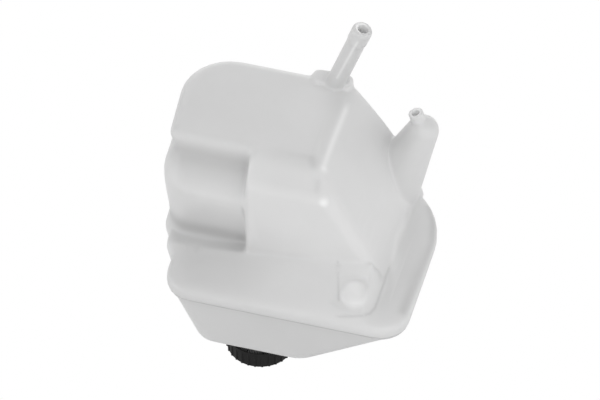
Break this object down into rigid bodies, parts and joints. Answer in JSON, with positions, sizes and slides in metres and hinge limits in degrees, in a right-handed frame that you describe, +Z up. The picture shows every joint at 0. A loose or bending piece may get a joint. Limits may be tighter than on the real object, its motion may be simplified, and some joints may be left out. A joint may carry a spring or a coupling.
{
  "type": "coolant expansion tank",
  "caption": "Milky plastic coolant expansion tank: two welded moulded shells, hose spigots below, fixing eyes on the flange and a black screw cap with pressure and vacuum valves.",
  "frame": {"origin": "centre of the first fixing eye, at the eye's upper mouth on the flange plane", "axes": "+Z up along the filler neck and the fixing eyes' bores, +X along the front edge from the shelf side to the grooved side, +Y from the front edge to the back"},
  "size_m": [0.2193, 0.189, 0.2735],
  "materials": {
    "milky_plastic": "as moulded, slightly translucent",
    "black_plastic": "as moulded",
    "dark_plastic": "as moulded",
    "rubber": "matt",
    "steel": "plain",
    "brass": "turned"
  },
  "bodies": {
    "tank": {"lower_shell": "milky_plastic", "upper_shell": "milky_plastic"},
    "cap_insert": {"cap_core": "dark_plastic", "cap_gasket": "rubber", "cap_o_ring": "rubber", "spring_retainer": "steel", "pressure_spring": "steel"},
    "cap": {"cap_cover": "black_plastic"},
    "pressure_valve": {"pressure_plate": "steel", "plate_seal": "rubber", "vacuum_spring": "steel"},
    "vacuum_valve": {"vacuum_valve": "brass", "vacuum_collar": "brass"}
  },
  "joints": [
    {"name": "cap_lift", "type": "slide", "parent": "tank", "child": "cap_insert", "axis": [0, 0, 1], "range_m": [0, 0.007]},
    {"name": "cap_turn", "type": "hinge", "parent": "cap_insert", "child": "cap", "pos_m": [-0.027, -0.135, 0.0752], "axis": [0, 0, 1], "range_deg": [0, 632]},
    {"name": "pressure_lift", "type": "slide", "parent": "cap_insert", "child": "pressure_valve", "axis": [0, 0, 1], "range_m": [0, 0.0035], "stiffness_N_per_m": 1500, "springref_m": -0.004, "deforming": ["pressure_spring"]},
    {"name": "vacuum_drop", "type": "slide", "parent": "pressure_valve", "child": "vacuum_valve", "axis": [0, 0, -1], "range_m": [0, 0.0012], "stiffness_N_per_m": 300, "springref_m": -0.002, "deforming": ["vacuum_spring"]}
  ],
  "couplings": [
    {"joint": "cap_turn", "follows": "cap_lift", "rad_per_m": 1570.8}
  ]
}
